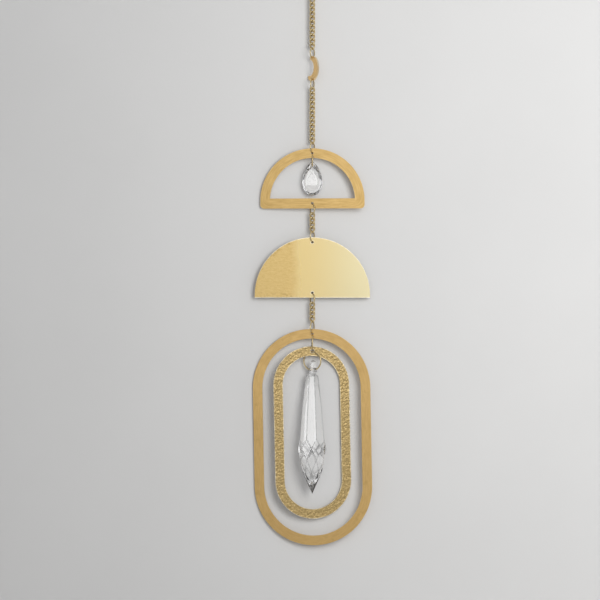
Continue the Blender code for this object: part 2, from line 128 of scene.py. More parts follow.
def blend_of(tree, share, first, second):
    """Colour socket that goes from the first colour to the second as share goes from 0 to 1."""
    mix = add(tree, "ShaderNodeMix", data_type="RGBA")
    for socket, value in (("Factor", share), ("A", first), ("B", second)):
        kind = "NodeSocketFloatFactor" if socket == "Factor" else "NodeSocketColor"
        target = next(s for s in mix.inputs if s.name == socket and s.bl_idname == kind)
        if isinstance(value, bpy.types.NodeSocket):
            tree.links.new(value, target)
        else:
            target.default_value = value if socket == "Factor" else (*value, 1.0)
    return next(s for s in mix.outputs if s.bl_idname == "NodeSocketColor")


def mapped(tree, value, low, high, to_low=0.0, to_high=1.0):
    """Value socket that carries low..high to to_low..to_high, smoothly and no further."""
    inputs = {"Value": value, "From Min": low, "From Max": high}
    inputs.update({"To Min": to_low, "To Max": to_high})
    return add(
        tree, "ShaderNodeMapRange", inputs, interpolation_type="SMOOTHSTEP"
    ).outputs["Result"]


def noise(tree, place, scale, detail=2.0, roughness=0.5):
    """Value socket of a noise whose bumps are one over the scale apart."""
    inputs = {"Vector": place, "Scale": scale, "Detail": detail, "Roughness": roughness}
    return add(tree, "ShaderNodeTexNoise", inputs).outputs["Fac"]


def maths(tree, operation, first, second):
    """Value socket of the sum, product or the like of two values."""
    return add(tree, "ShaderNodeMath", {0: first, 1: second}, operation=operation).outputs[0]


def bare_material(name):
    """A material with one Principled shader, and with it its tree and that shader."""
    material = bpy.data.materials.new(name)
    material.use_nodes = True
    return material, material.node_tree, material.node_tree.nodes["Principled BSDF"]


def bumped(tree, shader, height, distance, strength=1.0):
    """Fine relief on the shader's surface: it stands out by the distance where the height is 1."""
    inputs = {"Height": height, "Distance": distance, "Strength": strength}
    relief = add(tree, "ShaderNodeBump", inputs)
    tree.links.new(relief.outputs["Normal"], shader.inputs["Normal"])


def mixed_surface(tree, share, shader, other):
    """The material's surface: the shader, or the other one where the share is 1."""
    inputs = {0: share, 1: shader.outputs["BSDF"], 2: other.outputs["BSDF"]}
    mix = add(tree, "ShaderNodeMixShader", inputs)
    tree.links.new(mix.outputs["Shader"], tree.nodes["Material Output"].inputs["Surface"])


def wall_paint(name, colour, spread, see_through_back):
    """Matt paint rolled on plaster: faint cloudy shade and a fine orange-peel relief."""
    material, tree, shader = bare_material(name)
    place = add(tree, "ShaderNodeTexCoord").outputs["Object"]
    light = tuple(c * (1 + spread) for c in colour)
    dark = tuple(c * (1 - spread) for c in colour)
    shade = mapped(tree, noise(tree, place, 9.0, 4.0), 0.3, 0.7)
    tree.links.new(blend_of(tree, shade, dark, light), shader.inputs["Base Color"])
    bumped(tree, shader, noise(tree, place, 700.0, 3.0), 0.0003, strength=0.10)
    shader.inputs["Roughness"].default_value = PAINT_ROUGHNESS
    if see_through_back:
        side = add(tree, "ShaderNodeNewGeometry").outputs["Backfacing"]
        mixed_surface(tree, side, shader, add(tree, "ShaderNodeBsdfTransparent"))
    return material


def flat_sheet(corner, along, across):
    """A flat rectangle from its corner, along one edge and across to the other."""
    row = np.linspace(0.0, 1.0, 3)[:, None, None]
    column = np.linspace(0.0, 1.0, 3)[None, :, None]
    return np.array(corner) + row * np.array(along) + column * np.array(across)


wall_grid = flat_sheet(
    (-WALL_HALF_WIDTH, WALL_BEHIND, FLOOR_BELOW),
    (2 * WALL_HALF_WIDTH, 0.0, 0.0),
    (0.0, 0.0, WALL_TOP - FLOOR_BELOW),
)
floor_grid = flat_sheet(
    (-WALL_HALF_WIDTH, -FLOOR_FORWARD, FLOOR_BELOW),
    (2 * WALL_HALF_WIDTH, 0.0, 0.0),
    (0.0, 2 * FLOOR_FORWARD, 0.0),
)
wall_finish = wall_paint("wall_paint", WALL_COLOUR, WALL_CLOUD, True)
floor_finish = wall_paint("floor_paint", FLOOR_COLOUR, FLOOR_CLOUD, False)
wall = shown("wall", surface("wall", [wall_grid]), wall_finish)
floor = shown("floor", surface("floor", [floor_grid]), floor_finish)

# Light: a soft window light from ahead on the right, which throws the soft shadows to the left,
# in a room that is bright round the camera, less so on the right and dark elsewhere. Only the
# crystals are sharp enough to show its lit panels, which stand ahead on the left.
WINDOW_PLACE = (0.31, -0.70, -0.05)
WINDOW_AIM = (0.52, 0.0, 0.02)
WINDOW_SIZE = 0.42
WINDOW_WATTS = 4.5
SHARE_IN_REFLECTIONS = 0.12
ROOM_DARK = (0.27, 0.27, 0.275)
ROOM_RIGHT = (0.50, 0.50, 0.51)
ROOM_FRONT = (1.27, 1.28, 1.29)
RIGHT_TOWARD = (0.9, -0.2, 0.35)
RIGHT_REACH = (-0.5, 0.9)
FRONT_TOWARD = (0.06, -1.0, 0.08)
FRONT_REACH = (0.80, 0.965)
PANELS_TOWARD = (-0.55, -0.78, -0.16)
PANELS_REACH = (0.05, 0.60)
PANELS_OFF = (0.48, 0.48, 0.485)
PANELS_MIRRORED = (4.6, 4.6, 4.6)
PANELS_THROUGH = (1.15, 1.15, 1.15)


def window_light(name, watts, in_reflections):
    """A square light towards the wall, which the camera doesn't see.

    Most of the window's light is left out of reflections, because the real one is as even in the
    brass as the room is.
    """
    data = bpy.data.lights.new(name, "AREA")
    data.shape = "SQUARE"
    data.size = WINDOW_SIZE
    data.energy = watts
    lamp = bpy.data.objects.new(name, data)
    lamp.location = WINDOW_PLACE
    lamp.rotation_euler = (lamp.location - Vector(WINDOW_AIM)).to_track_quat("Z", "Y").to_euler()
    lamp.visible_camera = False
    lamp.visible_glossy = in_reflections
    lamp.visible_transmission = False
    bpy.context.scene.collection.objects.link(lamp)


window_light("window_light", SHARE_IN_REFLECTIONS * WINDOW_WATTS, True)
window_light("window_glow", (1 - SHARE_IN_REFLECTIONS) * WINDOW_WATTS, False)


def room_toward(tree, direction, low, high):
    """How far a ray of the room goes that way: its cosine carried from low..high to 0..1."""
    ray = add(tree, "ShaderNodeTexCoord").outputs["Generated"]
    length = math.sqrt(sum(part**2 for part in direction))
    ahead = tuple(part / length for part in direction)
    cosine = add(tree, "ShaderNodeVectorMath", {0: ray, 1: ahead}, operation="DOT_PRODUCT")
    return mapped(tree, cosine.outputs["Value"], low, high)


def past_glass(tree, path):
    """Value socket that is 1 for a ray that has gone through glass, and 0 for any other."""
    return maths(tree, "GREATER_THAN", path["Transmission Depth"], 0.5)


room = bpy.data.worlds.new("room")
room.use_nodes = True
sky = room.node_tree
right = room_toward(sky, RIGHT_TOWARD, *RIGHT_REACH)
front = room_toward(sky, FRONT_TOWARD, *FRONT_REACH)
panels = room_toward(sky, PANELS_TOWARD, *PANELS_REACH)
path = add(sky, "ShaderNodeLightPath").outputs
around = blend_of(sky, front, blend_of(sky, right, ROOM_DARK, ROOM_RIGHT), ROOM_FRONT)
mirrored = blend_of(sky, panels, PANELS_OFF, PANELS_MIRRORED)
through = blend_of(sky, panels, PANELS_OFF, PANELS_THROUGH)
sharp = blend_of(sky, past_glass(sky, path), mirrored, through)
around = blend_of(sky, path["Is Singular Ray"], around, sharp)
sky.links.new(around, sky.nodes["Background"].inputs["Color"])
sky.nodes["Background"].inputs["Strength"].default_value = 1.0
bpy.context.scene.world = room

# Hanging ring: soldered brass wire, bent round, that goes on the hook. It is above the edge of
# the photo's view. Under it, eleven jump rings of finer wire join the chains and the pieces.
HANGING_RING = 0.0150
HANGING_WIRE = 0.0015
RING_WIRE = 0.0008
RING_STEPS = 72
WIRE_STEPS = 16
SLIT = 0.020
CHAIN_BRIGHT = (0.86, 0.70, 0.40)
CHAIN_WORN = (0.70, 0.53, 0.26)
CHAIN_DARK = (0.20, 0.135, 0.06)


def round_wire(line, direction, thickness):
    """Round wire along a line: about each point, a circle square to the line's direction.

    The circle is cos(turn) outwards from the line's middle and sin(turn) the third way, times half
    the thickness there.
    """
    direction = direction / np.linalg.norm(direction, axis=1, keepdims=True)
    outward = line - (line * direction).sum(axis=1, keepdims=True) * direction
    outward /= np.linalg.norm(outward, axis=1, keepdims=True)
    third = np.cross(outward, direction)
    turn = np.linspace(0.0, 2 * math.pi, WIRE_STEPS + 1)[None, :, None]
    rounds = outward[:, None] * np.cos(turn) + third[:, None] * np.sin(turn)
    return line[:, None] + rounds * (thickness / 2)[:, None, None]


def bent_ring(height, width, wire, pear=0.0, slit=SLIT, slit_at=0.5):
    """An oval of wire whose two cut ends meet, closed by a flat end on each.

    The wire's middle runs half the width, less the pear's share of it times sin(turn), along
    cos(turn), and half the height along sin(turn).
    """
    turn = slit_at + np.linspace(slit, 2 * math.pi - slit, RING_STEPS + 1)
    turn = np.concatenate([turn[:1], turn, turn[-1:]])
    thickness = np.full(turn.shape, wire)
    thickness[[0, -1]] = 0.0
    half_width = (width - wire) / 2
    half_height = (height - wire) / 2
    narrowed = half_width * (1.0 - pear * np.sin(turn))
    level = np.zeros_like(turn)
    line = np.stack([narrowed * np.cos(turn), level, half_height * np.sin(turn)], axis=1)
    slope = -narrowed * np.sin(turn) - half_width * pear * np.cos(turn) ** 2
    direction = np.stack([slope, level, half_height * np.cos(turn)], axis=1)
    return round_wire(line, direction, thickness)


def hung(grids, turn, roll, *nodes, at=None):
    """Grids made about the origin, as they hang.

    They are rolled in their own plane, then turned about the vertical, and moved to the place
    given, or else so that the middle of their flat outline is the middle of the nodes' box.
    """
    rolled = np.array(
        [[math.cos(roll), 0, math.sin(roll)], [0, 1, 0], [-math.sin(roll), 0, math.cos(roll)]]
    )
    turned = np.array(
        [[math.cos(turn), -math.sin(turn), 0], [math.sin(turn), math.cos(turn), 0], [0, 0, 1]]
    )
    both = (turned @ rolled).T
    points = np.concatenate([grid.reshape(-1, 3) for grid in grids]) * (1, 0, 1) @ both
    grids = [grid @ both for grid in grids]
    if at is not None:
        return [grid + at for grid in grids]
    corners = np.array([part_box(node) for node in nodes])
    wanted = (corners[:, 0].min(axis=0) + corners[:, 1].max(axis=0)) / 2
    return [grid + wanted - (points.min(axis=0) + points.max(axis=0)) / 2 for grid in grids]


def effect(name, inputs):
    """An empty shader node group that gives a mask, and with it its input and output sockets.

    An input given a number is a value, and one given nothing is a vector.
    """
    group = bpy.data.node_groups.new(name, "ShaderNodeTree")
    for label, value in inputs.items():
        kind = "NodeSocketVector" if value is None else "NodeSocketFloat"
        socket = group.interface.new_socket(label, in_out="INPUT", socket_type=kind)
        if value is not None:
            socket.default_value = value
    group.interface.new_socket("Mask", in_out="OUTPUT", socket_type="NodeSocketFloat")
    ends = group.nodes.new("NodeGroupInput").outputs, group.nodes.new("NodeGroupOutput").inputs
    return group, *ends


def tarnish_effect():
    """Cloudy patches where the lacquer has let the brass darken.

    Noise at the patch size is cut off below a threshold, and finer noise frays the patches' edges.
    """
    inputs = {"Position": None, "Patches per metre": 150.0, "Threshold": 0.55}
    group, given, made = effect("Tarnish", inputs)
    clouds = noise(group, given["Position"], given["Patches per metre"], 6.0, 0.62)
    above = maths(group, "SUBTRACT", clouds, given["Threshold"])
    group.links.new(mapped(group, above, 0.0, 0.14), made["Mask"])
    return group


def mask_of(tree, group, inputs):
    """Mask of a shared effect that is placed in this tree with its own values."""
    return add(tree, "ShaderNodeGroup", inputs, node_tree=group).outputs["Mask"]


tarnish = tarnish_effect()


def antique_wire(name, bright, worn, dark):
    """Antiqued brass wire: dark oxide in the inside of each bend, worn bright outside."""
    material, tree, shader = bare_material(name)
    place = add(tree, "ShaderNodeTexCoord").outputs["Object"]
    chart = add(tree, "ShaderNodeUVMap", uv_map="bend").outputs["UV"]
    inside = add(tree, "ShaderNodeSeparateXYZ", {"Vector": chart}).outputs["X"]
    inputs = {"Position": place, "Patches per metre": 420.0, "Threshold": 0.52}
    colour = blend_of(tree, mask_of(tree, tarnish, inputs), bright, worn)
    oxide = mapped(tree, inside, 0.45, 1.0, 0.0, 0.85)
    colour = blend_of(tree, oxide, colour, dark)
    tree.links.new(colour, shader.inputs["Base Color"])
    tree.links.new(mapped(tree, inside, 0.0, 1.0, 0.26, 0.5), shader.inputs["Roughness"])
    bumped(tree, shader, noise(tree, place, 3200.0), 0.00003, strength=0.35)
    shader.inputs["Metallic"].default_value = 1.0
    return material


chain_brass = antique_wire("chain_brass", CHAIN_BRIGHT, CHAIN_WORN, CHAIN_DARK)


def inside_of_bend(grid):
    """A pair for each point of a wire: how far it faces the inside of its bend, and nothing."""
    middle = grid.reshape(-1, 3).mean(axis=0)
    line = grid[:, :-1].mean(axis=1, keepdims=True)
    facing = grid - line
    facing /= np.maximum(np.linalg.norm(facing, axis=2, keepdims=True), 1e-9)
    inward = middle - line
    inward /= np.linalg.norm(inward, axis=2, keepdims=True)
    share = np.clip((facing * inward).sum(axis=2), 0.0, 1.0)
    return np.stack([share, np.zeros_like(share)], axis=2)


def ornament_piece(name, mesh, material, slot, *nodes):
    """A finished piece: it rides with the frame and stands for its CAD nodes."""
    obj = shown(name, mesh, material)
    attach(obj, "root")
    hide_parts(*nodes)
    return obj


def wire_piece(name, grids, *nodes):
    """A piece of bent wire in the chain's brass."""
    mesh = surface(name, grids, {"bend": [inside_of_bend(grid) for grid in grids]})
    mesh.shade_smooth()
    return ornament_piece(name, mesh, chain_brass, "chain_brass", *nodes)


hanging = bent_ring(HANGING_RING, HANGING_RING, HANGING_WIRE, slit=0.004, slit_at=-1.2)
wire_piece("hanging_ring_wire", hung([hanging], 0.0, 0.0, "hanging_ring"), "hanging_ring")

RING = 0.0074
RING_TURN = math.radians(66)
EDGE_ON = math.radians(90)
# Each jump ring's height, width, wire, pear and turn about the upright.
JUMP_RINGS = {
    "top_ring": (RING, RING, RING_WIRE, 0.0, -RING_TURN),
    "moon_upper_ring": (RING, RING, RING_WIRE, 0.0, RING_TURN),
    "moon_lower_ring": (RING, RING, RING_WIRE, 0.0, math.radians(70)),
    "frame_upper_ring": (RING, RING, RING_WIRE, 0.0, RING_TURN),
    "drop_ring": (0.0085, 0.0085, RING_WIRE, 0.0, EDGE_ON),
    "frame_lower_ring": (RING, RING, RING_WIRE, 0.0, -RING_TURN),
    "half_moon_upper_ring": (RING, RING, RING_WIRE, 0.0, RING_TURN),
    "half_moon_lower_ring": (RING, RING, RING_WIRE, 0.0, -RING_TURN),
    "oval_upper_ring": (0.0088, 0.0066, RING_WIRE, 0.16, RING_TURN),
    "oval_link_ring": (0.0104, 0.0104, RING_WIRE, 0.0, EDGE_ON),
    "prism_ring": (0.0126, 0.0126, 0.0009, 0.0, math.radians(-23)),
}
for node, (height, width, wire, pear, turn) in JUMP_RINGS.items():
    wire_piece(f"{node}_wire", hung([bent_ring(height, width, wire, pear)], turn, 0.0, node), node)

# Curb chain: four runs of small oval links of antiqued wire, each link twisted so that the
# whole chain lies flat and every link shows the same face.
LINK_WIRE = 0.00112
LINK_WIDTH = 0.0038
LINK_PITCH = 0.0029
LINK_PLAY = 0.000004
LINK_TWIST = 0.56
LINK_STEPS = 40
LINK_TURN = math.radians(-20)
CHAINS = {"chain_top": 14, "chain_upper": 12, "chain_middle": 4, "chain_lower": 4}


def curb_link():
    """A link of wire: an ellipse whose sides swing back and forth twice.

    The wire's middle runs half the width along cos(turn), half the height along sin(turn), and
    the swing along sin(twice the turn) from front to back. The height leaves a little play
    between each link and the next, so that they stay apart.
    """
    turn = np.linspace(0.0, 2 * math.pi, LINK_STEPS + 1)
    across = (LINK_WIDTH - LINK_WIRE) / 2
    upright = (LINK_PITCH + LINK_WIRE + LINK_PLAY) / 2
    swing = LINK_TWIST * LINK_WIRE
    line = np.stack(
        [across * np.cos(turn), swing * np.sin(2 * turn), upright * np.sin(turn)], axis=1
    )
    direction = np.stack(
        [-across * np.sin(turn), 2 * swing * np.cos(2 * turn), upright * np.cos(turn)], axis=1
    )
    return round_wire(line, direction, np.full(turn.shape, LINK_WIRE))


link = curb_link()
for run, count in CHAINS.items():
    nodes = [f"{run}_{i + 1:02d}" for i in range(count)]
    links = [hung([link], LINK_TURN, 0.0, node)[0] for node in nodes]
    wire_piece(f"{run}_links", links, *nodes)

# Crescent: a small flat moon cut from brass sheet, which has turned nearly edge-on to the view.
# A hole near each horn takes the rings above and below it.
SHEET = 0.0009
EDGE_ROUND = 0.00012
EDGE_ANGLE = math.radians(50)
HOLE_POINTS = 13
SEARCH_COLUMNS = 20001
STAIN_STRENGTH = 0.3
MOON_RADIUS = 0.0080
MOON_THICK = 0.0056
MOON_BITE = 0.0027
MOON_TIP = 0.0026
MOON_HORN = math.radians(122)
MOON_HOLE = 0.0015
MOON_RIM_TO_HOLE = 0.0014
MOON_ROLL = math.radians(-12)
MOON_TURN = math.radians(-61)


def seen_from_column(low, high, hole):
    """How far a hole's centre lies aside of each column, and its share of the way up it."""
    span = high - low
    length = np.linalg.norm(span, axis=1)
    away = np.array(hole) - low
    aside = (span[:, 0] * away[:, 1] - span[:, 1] * away[:, 0]) / length
    return aside, (span * away).sum(axis=1) / length**2


def crowded_columns(edges, columns, holes, radius):
    """Columns across a sheet, with more of them at each hole: radius times cos(turn) from it.

    Ordinary columns that fall among them, or a tenth of their span beside them, are left out.
    """
    dense = np.linspace(columns[0], columns[-1], SEARCH_COLUMNS)
    low, high = edges(dense)
    for hole in holes:
        aside, share = seen_from_column(low, high, hole)
        near = (share > 0) & (share < 1) & (abs(aside) < 1.5 * radius)
        order = np.argsort(aside[near])
        wanted = radius * np.cos(np.linspace(0.0, math.pi, HOLE_POINTS))
        extra = np.interp(wanted, aside[near][order], dense[near][order])
        room_by = 0.1 * (extra.max() - extra.min())
        clear = (columns < extra.min() - room_by) | (columns > extra.max() + room_by)
        columns = np.unique(np.concatenate([columns[clear], extra]))
    return columns


def parting(low, high, columns, holes, radius):
    """A line along a sheet that opens round its holes.

    Gives, for each column, the line's share of the way across and half the opening's share: the
    root of radius squared less the distance aside squared. Between holes the line runs straight,
    and both its ends have the same share, so that a band closes.
    """
    share = np.full(columns.shape, np.nan)
    opening = np.zeros(columns.shape)
    length = np.linalg.norm(high - low, axis=1)
    for hole in holes:
        aside, up = seen_from_column(low, high, hole)
        near = (up > 0) & (up < 1) & (abs(aside) <= 1.001 * radius)
        share[near] = up[near]
        half = np.sqrt(np.maximum(radius**2 - aside[near] ** 2, 0.0))
        half[half < 0.05 * radius] = 0.0
        opening[near] = half / length[near]
    known = ~np.isnan(share)
    end = (share[known][0] + share[known][-1]) / 2
    places = np.concatenate([columns[:1], columns[known], columns[-1:]])
    return np.interp(columns, places, np.concatenate([[end], share[known], [end]])), opening


def cut_sheet(edges, columns, hole_lines, radius, steps, relief=None):
    """A flat sheet with holes, in the XZ plane, as its grids and charts.

    Each column runs from the low edge to the high edge. The sheet is a strip below, between and
    above its parting lines, and each line opens round its own holes. Chart grain is millimetres
    along and across; chart edge is millimetres from the nearest edge, and nothing. Relief is a
    function of the place across and up, in metres, that pushes the sheet forwards.
    """
    holes = [hole for line in hole_lines for hole in line]
    columns = crowded_columns(edges, columns, holes, radius)
    low, high = edges(columns)
    length = np.linalg.norm(high - low, axis=1)
    middle = (low + high) / 2
    steps_along = np.linalg.norm(np.diff(middle, axis=0), axis=1)
    along = 1000 * np.concatenate([[0.0], np.cumsum(steps_along)])
    bounds = [np.zeros_like(columns)]
    for line in hole_lines:
        share, opening = parting(low, high, columns, line, radius)
        bounds += [share - opening, share + opening]
    bounds.append(np.ones_like(columns))
    flats, grains, rims = [], [], []
    for strip, count in enumerate(steps):
        start, end = bounds[2 * strip][:, None], bounds[2 * strip + 1][:, None]
        share = start + (end - start) * np.linspace(0.0, 1.0, count + 1)[None, :]
        flat = low[:, None] + (high - low)[:, None] * share[..., None]
        across = share * 1000 * length[:, None]
        rim = np.minimum(across, 1000 * length[:, None] - across)
        for hole in holes:
            rim = np.minimum(rim, 1000 * (np.linalg.norm(flat - np.array(hole), axis=2) - radius))
        lengthways = np.broadcast_to(along[:, None], across.shape)
        flats.append(flat)
        grains.append(np.stack([lengthways, across], axis=2))
        rims.append(np.stack([np.maximum(rim, 0.0), np.zeros_like(rim)], axis=2))
    places = np.concatenate([flat.reshape(-1, 2) for flat in flats])
    forward = relief(places[:, 0], places[:, 1]) if relief else np.zeros(len(places))
    forward = np.split(forward, np.cumsum([flat[..., 0].size for flat in flats])[:-1])
    grids = [
        np.stack([flat[..., 0], -pushed.reshape(flat.shape[:2]), flat[..., 1]], axis=2)
        for flat, pushed in zip(flats, forward)
    ]
    return grids, {"grain": grains, "edge": rims}


def brush_effect():
    """Fine lines of a brushed finish: noise drawn out along the brushing."""
    inputs = {"Chart": None, "Line length": 9.0, "Line width": 0.25}
    group, given, made = effect("Brush lines", inputs)
    parts = add(group, "ShaderNodeSeparateXYZ", {"Vector": given["Chart"]}).outputs
    lengths = maths(group, "DIVIDE", parts["X"], given["Line length"])
    widths = maths(group, "DIVIDE", parts["Y"], given["Line width"])
    drawn = add(group, "ShaderNodeCombineXYZ", {"X": lengths, "Y": widths}).outputs["Vector"]
    lines = noise(group, drawn, 1.0, 4.0, 0.65)
    group.links.new(mapped(group, lines, 0.28, 0.72), made["Mask"])
    return group


def edge_wear_and_highlight_effect():
    """Bright worn metal and a painted highlight along an edge: one less distance over reach,
    squared, broken by noise.
    """
    group, given, made = effect("Edge wear and highlight", {"Distance": 0.0, "Reach": 0.5, "Position": None})
    share = maths(group, "DIVIDE", given["Distance"], given["Reach"])
    near = mapped(group, share, 0.0, 1.0, 1.0, 0.0)
    broken = mapped(group, noise(group, given["Position"], 260.0), 0.3, 0.6, 0.35, 1.0)
    group.links.new(maths(group, "MULTIPLY", near, broken), made["Mask"])
    return group


brush_lines = brush_effect()
edge_wear_and_highlight = edge_wear_and_highlight_effect()


def sheet_charts(tree):
    """Sockets of a sheet's two charts: the grain's pair, and the distance from the edge."""
    grain = add(tree, "ShaderNodeUVMap", uv_map="grain").outputs["UV"]
    edge = add(tree, "ShaderNodeUVMap", uv_map="edge").outputs["UV"]
    return grain, add(tree, "ShaderNodeSeparateXYZ", {"Vector": edge}).outputs["X"]


def brass_sheet(name, light, dark, worn, stained, lines, roughness, relief_depth, wear_and_highlight_reach):
    """Brushed brass sheet: light and dark lines, darker stains, and bright worn edges.

    Lines and the reach of the bright edges are in millimetres, and the first roughness is that of
    the light lines. The bright edges are worn metal and also a painted highlight, where an edge
    catches the light.
    """
    material, tree, shader = bare_material(name)
    place = add(tree, "ShaderNodeTexCoord").outputs["Object"]
    chart, rim = sheet_charts(tree)
    inputs = {"Chart": chart, "Line length": lines[0], "Line width": lines[1]}
    brushed = mask_of(tree, brush_lines, inputs)
    inputs = {"Position": place, "Patches per metre": 190.0, "Threshold": 0.56}
    patches = mask_of(tree, tarnish, inputs)
    wear_and_highlight = mask_of(tree, edge_wear_and_highlight, {"Distance": rim, "Reach": wear_and_highlight_reach, "Position": place})
    colour = blend_of(tree, brushed, dark, light)
    stains = mapped(tree, patches, 0.0, 1.0, 0.0, STAIN_STRENGTH)
    colour = blend_of(tree, stains, colour, stained)
    # Bright edges: worn metal and a painted highlight along the rim.
    colour = blend_of(tree, wear_and_highlight, colour, worn)
    tree.links.new(colour, shader.inputs["Base Color"])
    rough = mapped(tree, brushed, 0.0, 1.0, roughness[1], roughness[0])
    tree.links.new(rough, shader.inputs["Roughness"])
    bumped(tree, shader, brushed, relief_depth)
    shader.inputs["Metallic"].default_value = 1.0
    return material


def sheet_piece(name, sheet, material, slot, node, turn, roll=0.0, at=None):
    """A piece cut from sheet: given its thickness, and its edges rounded, once it hangs."""
    grids, charts = sheet
    mesh = surface(name, hung(grids, turn, roll, node, at=at), charts)
    mesh.shade_smooth()
    obj = ornament_piece(name, mesh, material, slot, node)
    thick = obj.modifiers.new("thickness", "SOLIDIFY")
    thick.thickness = SHEET
    thick.offset = 0.0
    thick.use_even_offset = False
    rounding = obj.modifiers.new("rounded_edges", "BEVEL")
    rounding.width = EDGE_ROUND
    rounding.segments = 2
    rounding.limit_method = "ANGLE"
    rounding.angle_limit = EDGE_ANGLE
    rounding.harden_normals = True
    return obj


def rolled_about(point, roll):
    """A point of the sheet's plane turned anticlockwise by roll."""
    x, z = point
    return (
        x * math.cos(roll) - z * math.sin(roll),
        x * math.sin(roll) + z * math.cos(roll),
    )


def crescent_edges(place):
    """The crescent's round edge and its hollow one, from its lower horn at -1 to its upper at 1.

    The round edge is the radius times the cosine and sine of place times the horn's turn. The
    hollow edge is a smaller circle, set back by the bite, and each column crosses it on its way
    to the middle of the big one. The horns are blunt: the moon there is the tip times the root
    of 1 less place to the eighth, and its round edge draws in over the last twelfth.
    """
    turn = place * MOON_HORN
    across, up = np.cos(turn), np.sin(turn)
    bite_radius = MOON_RADIUS + MOON_BITE - MOON_THICK
    reach = np.sqrt(bite_radius**2 - (MOON_BITE * up) ** 2) - MOON_BITE * across
    blunt = MOON_RADIUS - MOON_TIP * np.sqrt(np.clip(1 - place**8, 0.0, 1.0))
    reach = np.minimum(reach, blunt)
    round_share = MOON_RADIUS - 0.5 * MOON_TIP * np.clip(abs(place) * 12 - 11, 0.0, 1.0) ** 2
    hollow = np.stack([reach * across, reach * up], axis=1)
    return np.stack([round_share * across, round_share * up], axis=1), hollow


moon_reach = MOON_RADIUS - MOON_RIM_TO_HOLE
moon_holes = [rolled_about((0.0, side * moon_reach), -MOON_ROLL) for side in (-1, 1)]
moon_places = np.linspace(-1.0, 1.0, 81)
moon_sheet = cut_sheet(crescent_edges, moon_places, [moon_holes], MOON_HOLE / 2, [5, 5])
moon_brass = brass_sheet(
    "moon_brass",
    light=(0.92, 0.64, 0.30),
    dark=(0.78, 0.52, 0.22),
    # Edge colour: wear and a painted highlight along the crescent's edges.
    worn=(0.95, 0.84, 0.62),
    stained=(0.60, 0.38, 0.15),
    lines=(5.0, 0.2),
    roughness=(0.34, 0.46),
    relief_depth=0.000006,
    wear_and_highlight_reach=0.45,
)
moon_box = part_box("crescent_moon")
sheet_piece(
    "crescent",
    moon_sheet,
    moon_brass,
    "satin_brass",
    "crescent_moon",
    MOON_TURN,
    -MOON_ROLL,
    at=(0.0, 0.0, (moon_box[0][2] + moon_box[1][2]) / 2),
)

# Half-moon frame: an open half-moon sawn from brass sheet and brushed along its band, with
# rounded lower corners outside and sharp ones inside, and a hole at its top and in its sill.
FRAME_RADIUS = 0.0335
FRAME_BAND = 0.0062
FRAME_SILL = 0.0065
FRAME_DROP = 0.0050
FRAME_CORNER = 0.0025
FRAME_TURN = math.radians(-5)
FRAME_STEPS = 60
SIDE_STEPS = 3
CORNER_STEPS = 9
SILL_STEPS = 50
SEAM_AT = 25
PLATE_HOLE = 0.0017


def half_frame_edges():
    """The right half of the frame's inner and outer edge, from its top to the sill's middle.

    Round the top, both edges turn together. At the corner the inner edge stands still while the
    outer one goes down its side and round the corner. Along the sill both run back to the middle.
    """
    inside = FRAME_RADIUS - FRAME_BAND
    sill_top = FRAME_SILL - FRAME_DROP
    last_turn = math.acos(sill_top / inside)
    turn = np.linspace(0.0, last_turn, FRAME_STEPS)
    over = np.stack([np.sin(turn), np.cos(turn)], axis=1)
    side_turn = np.linspace(last_turn, math.pi / 2, SIDE_STEPS)[1:]
    side = FRAME_RADIUS * np.stack([np.sin(side_turn), np.cos(side_turn)], axis=1)
    corner_turn = np.linspace(0.0, math.pi / 2, CORNER_STEPS)
    corner = np.array([FRAME_RADIUS - FRAME_CORNER, FRAME_CORNER - FRAME_DROP])
    corner = corner + FRAME_CORNER * np.stack([np.cos(corner_turn), -np.sin(corner_turn)], axis=1)
    inner_corner = inside * over[-1]
    back = np.linspace(inner_corner[0], 0.0, SILL_STEPS)
    sill_out = np.stack([back, np.full_like(back, -FRAME_DROP)], axis=1)
    sill_in = np.stack([back, np.full_like(back, sill_top)], axis=1)
    outer = np.concatenate([FRAME_RADIUS * over, side, corner, sill_out])
    still = np.tile(inner_corner, (len(side) + len(corner), 1))
    inner = np.concatenate([inside * over, still, sill_in])
    return inner, outer


# Both halves make one outline from the sill's middle. It is rolled on, so that its seam lies in
# the sill's left half and not at the hole.
half_inner, half_outer = half_frame_edges()
mirror = np.array([-1.0, 1.0])
frame_inner = np.concatenate([(half_inner * mirror)[::-1][:-1], half_inner])
frame_outer = np.concatenate([(half_outer * mirror)[::-1][:-1], half_outer])
frame_inner, frame_outer = (
    np.concatenate([outline[SEAM_AT:], outline[1 : SEAM_AT + 1]])
    for outline in (frame_inner, frame_outer)
)


def frame_edges(place):
    """The frame's inner and outer edge at each place from 0, in the sill's left half, to 1."""
    known = np.linspace(0.0, 1.0, len(frame_inner))
    low = np.stack([np.interp(place, known, frame_inner[:, k]) for k in (0, 1)], axis=1)
    high = np.stack([np.interp(place, known, frame_outer[:, k]) for k in (0, 1)], axis=1)
    return low, high


def bent_sheet(width, bow, waves, length):
    """Relief of a sheet that isn't quite flat.

    Its sides stand back by the bow times the square of their share of the half width, and three
    sines of about the given length cross each other.
    """

    def relief(x, z):
        first = np.sin(2 * math.pi * (x + 0.4 * z) / length)
        second = np.sin(2 * math.pi * (0.5 * x - 0.9 * z) / (0.7 * length) + 1.3)
        third = np.sin(2 * math.pi * (0.3 * x + z) / (1.7 * length) + 0.5)
        return waves * (first + 0.6 * second + third) / 2.6 - bow * (2 * x / width) ** 2

    return relief


